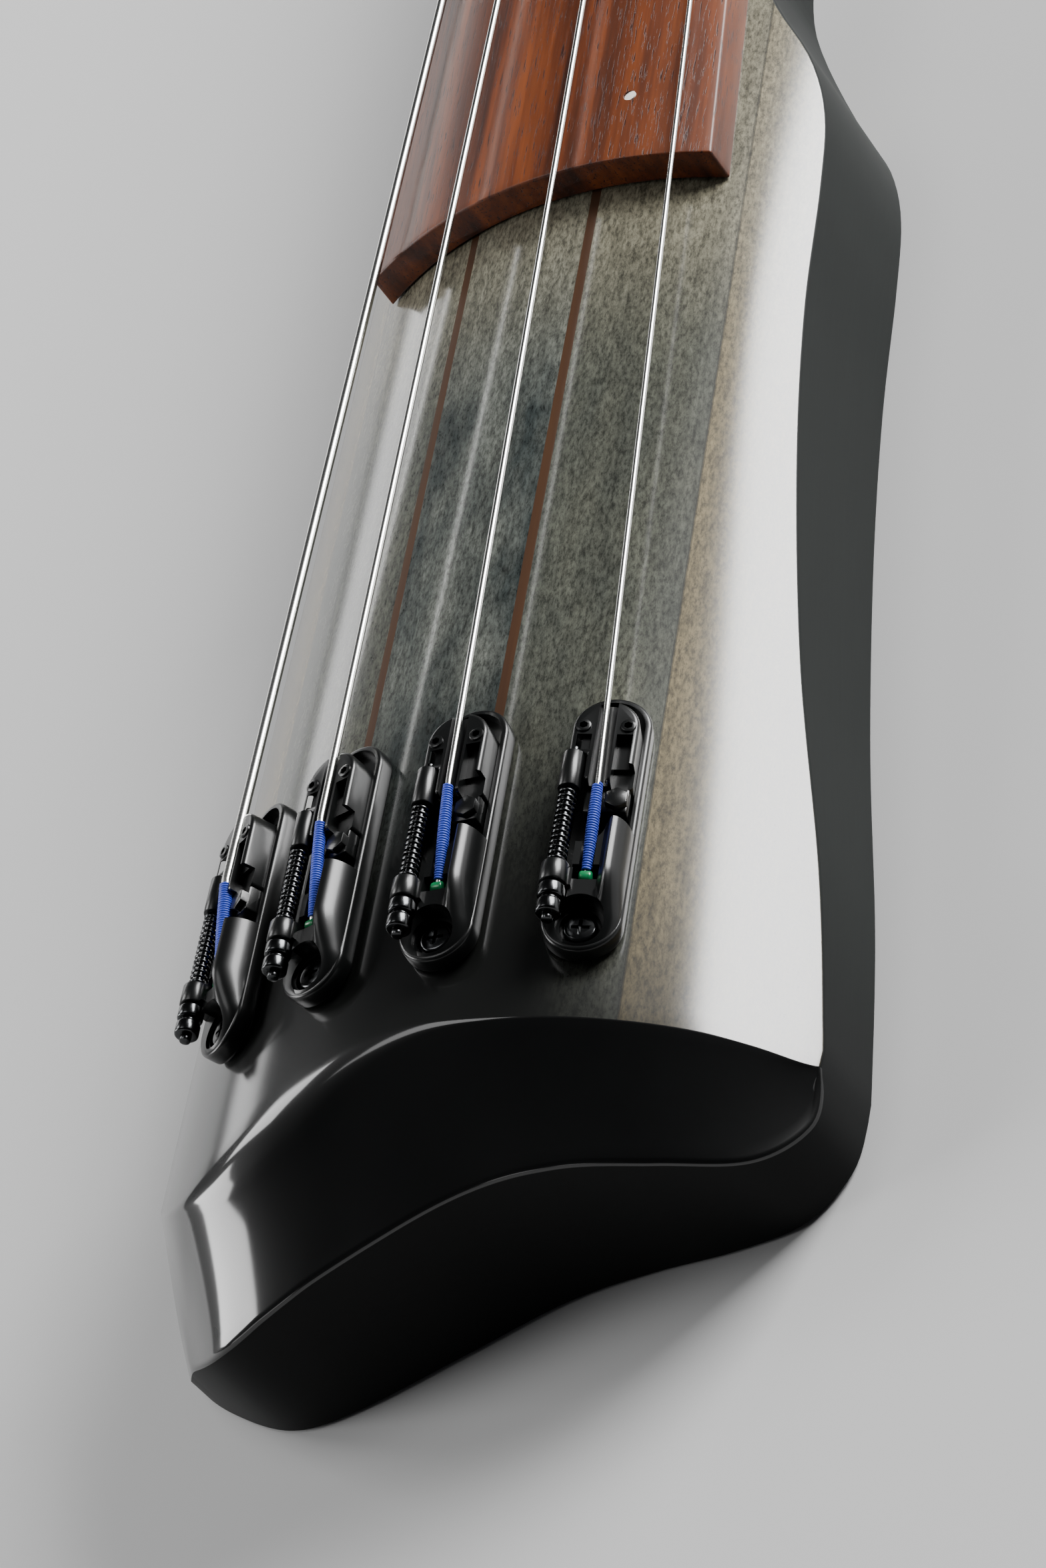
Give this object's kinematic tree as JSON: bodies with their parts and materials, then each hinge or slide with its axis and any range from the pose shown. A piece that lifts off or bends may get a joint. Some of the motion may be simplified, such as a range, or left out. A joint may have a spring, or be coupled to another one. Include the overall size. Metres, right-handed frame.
{
  "type": "electric cello",
  "caption": "Solid-body electric cello: stained laminated body with arched top and scooped tail, fretless fingerboard, single-string bridge units and geared tuners.",
  "frame": {"origin": "on the flat back plane of the body, centred, directly under the line of the bridge saddles", "axes": "+X to the treble side, +Y along the neck to the head, +Z out of the front; the instrument lies on its back"},
  "size_m": [0.1065, 0.8877, 0.056],
  "materials": {
    "stained_maple": "clear gloss over translucent charcoal stain",
    "dark_stained_maple": "satin to gloss over dark charcoal-green stain",
    "wenge_strip": "clear gloss over dark brown accent wood",
    "padauk_board": "oiled, open pored",
    "dot_inlay": "polished",
    "nut_black": "satin",
    "black_anodised": "black anodised, satin gloss",
    "black_steel": "black oxide",
    "string_steel": "polished flat-wound steel",
    "rod_steel": "bright steel",
    "cover_plastic": "fine texture",
    "circuit_board": "solder mask",
    "battery_case": "plain sleeve"
  },
  "bodies": {
    "body": {"body_core": "stained_maple", "accent_strip_left": "wenge_strip", "accent_strip_right": "wenge_strip", "inner_block_left": "stained_maple", "inner_block_right": "stained_maple", "wing_left": "dark_stained_maple", "wing_right": "dark_stained_maple", "neck": "dark_stained_maple", "truss_rod": "rod_steel", "fingerboard": "padauk_board", "position_dot": "dot_inlay", "nut": "nut_black", "bridge_base_1": "black_anodised", "length_spring_1": "black_steel", "mount_screw_1": "black_steel", "string_1": "string_steel", "tuner_box_1": "black_anodised", "cover_screw_1": "black_steel", "bridge_base_2": "black_anodised", "length_spring_2": "black_steel", "mount_screw_2": "black_steel", "string_2": "string_steel", "tuner_box_2": "black_anodised", "cover_screw_2": "black_steel", "bridge_base_3": "black_anodised", "length_spring_3": "black_steel", "mount_screw_3": "black_steel", "string_3": "string_steel", "tuner_box_3": "black_anodised", "cover_screw_3": "black_steel", "bridge_base_4": "black_anodised", "length_spring_4": "black_steel", "mount_screw_4": "black_steel", "string_4": "string_steel", "tuner_box_4": "black_anodised", "cover_screw_4": "black_steel", "cavity_cover": "cover_plastic", "battery": "battery_case", "preamp_board": "circuit_board", "volume_pot": "rod_steel", "output_jack": "black_steel"},
    "length_screw_1": {"length_screw_1": "black_steel"},
    "saddle_1": {"bridge_saddle_1": "black_anodised"},
    "post_1": {"string_post_1": "black_steel"},
    "tuner_button_1": {"tuner_button_1": "black_anodised"},
    "length_screw_2": {"length_screw_2": "black_steel"},
    "saddle_2": {"bridge_saddle_2": "black_anodised"},
    "post_2": {"string_post_2": "black_steel"},
    "tuner_button_2": {"tuner_button_2": "black_anodised"},
    "length_screw_3": {"length_screw_3": "black_steel"},
    "saddle_3": {"bridge_saddle_3": "black_anodised"},
    "post_3": {"string_post_3": "black_steel"},
    "tuner_button_3": {"tuner_button_3": "black_anodised"},
    "length_screw_4": {"length_screw_4": "black_steel"},
    "saddle_4": {"bridge_saddle_4": "black_anodised"},
    "post_4": {"string_post_4": "black_steel"},
    "tuner_button_4": {"tuner_button_4": "black_anodised"},
    "volume_knob": {"volume_knob": "black_anodised"}
  },
  "joints": [
    {"name": "length_screw_1_turn", "type": "hinge", "parent": "body", "child": "length_screw_1", "pos_m": [-0.03355, -0.0233, 0.03691], "axis": [0, 1, 0], "range_deg": [-1441, 1441]},
    {"name": "saddle_1_slide", "type": "slide", "parent": "body", "child": "saddle_1", "axis": [0, 1, 0], "range_m": [-0.002, 0.002], "deforming": ["length_spring_1"]},
    {"name": "tuner_1_turn", "type": "hinge", "parent": "body", "child": "tuner_button_1", "pos_m": [-0.028, 0.72325, 0.02027], "axis": [-1, 0, 0], "continuous": true},
    {"name": "post_1_turn", "type": "hinge", "parent": "body", "child": "post_1", "pos_m": [-0.0135, 0.72291, 0.03998], "axis": [0, 0.2672, 0.9636], "continuous": true},
    {"name": "length_screw_2_turn", "type": "hinge", "parent": "body", "child": "length_screw_2", "pos_m": [-0.01408, -0.0233, 0.04381], "axis": [0, 1, 0], "range_deg": [-1441, 1441]},
    {"name": "saddle_2_slide", "type": "slide", "parent": "body", "child": "saddle_2", "axis": [0, 1, 0], "range_m": [-0.002, 0.002], "deforming": ["length_spring_2"]},
    {"name": "tuner_2_turn", "type": "hinge", "parent": "body", "child": "tuner_button_2", "pos_m": [-0.028, 0.76758, 0.00798], "axis": [-1, 0, 0], "continuous": true},
    {"name": "post_2_turn", "type": "hinge", "parent": "body", "child": "post_2", "pos_m": [-0.0135, 0.76724, 0.02769], "axis": [0, 0.2672, 0.9636], "continuous": true},
    {"name": "length_screw_3_turn", "type": "hinge", "parent": "body", "child": "length_screw_3", "pos_m": [0.00656, -0.0233, 0.0449], "axis": [0, 1, 0], "range_deg": [-1441, 1441]},
    {"name": "saddle_3_slide", "type": "slide", "parent": "body", "child": "saddle_3", "axis": [0, 1, 0], "range_m": [-0.002, 0.002], "deforming": ["length_spring_3"]},
    {"name": "tuner_3_turn", "type": "hinge", "parent": "body", "child": "tuner_button_3", "pos_m": [0.028, 0.76758, 0.00798], "axis": [1, 0, 0], "continuous": true},
    {"name": "post_3_turn", "type": "hinge", "parent": "body", "child": "post_3", "pos_m": [0.0135, 0.76724, 0.02769], "axis": [0, 0.2672, 0.9636], "continuous": true},
    {"name": "length_screw_4_turn", "type": "hinge", "parent": "body", "child": "length_screw_4", "pos_m": [0.02665, -0.0233, 0.04009], "axis": [0, 1, 0], "range_deg": [-1441, 1441]},
    {"name": "saddle_4_slide", "type": "slide", "parent": "body", "child": "saddle_4", "axis": [0, 1, 0], "range_m": [-0.002, 0.002], "deforming": ["length_spring_4"]},
    {"name": "tuner_4_turn", "type": "hinge", "parent": "body", "child": "tuner_button_4", "pos_m": [0.028, 0.72325, 0.02027], "axis": [1, 0, 0], "continuous": true},
    {"name": "post_4_turn", "type": "hinge", "parent": "body", "child": "post_4", "pos_m": [0.0135, 0.72291, 0.03998], "axis": [0, 0.2672, 0.9636], "continuous": true},
    {"name": "volume_turn", "type": "hinge", "parent": "body", "child": "volume_knob", "pos_m": [-0.0424, 0.101, 0.0116], "axis": [-1, 0, 0], "range_deg": [0, 270]}
  ],
  "couplings": [
    {"joint": "length_screw_1_turn", "follows": "saddle_1_slide", "rad_per_m": -12566},
    {"joint": "post_1_turn", "follows": "tuner_1_turn", "ratio": -0.05},
    {"joint": "length_screw_2_turn", "follows": "saddle_2_slide", "rad_per_m": -12566},
    {"joint": "post_2_turn", "follows": "tuner_2_turn", "ratio": -0.05},
    {"joint": "length_screw_3_turn", "follows": "saddle_3_slide", "rad_per_m": -12566},
    {"joint": "post_3_turn", "follows": "tuner_3_turn", "ratio": 0.05},
    {"joint": "length_screw_4_turn", "follows": "saddle_4_slide", "rad_per_m": -12566},
    {"joint": "post_4_turn", "follows": "tuner_4_turn", "ratio": 0.05}
  ]
}
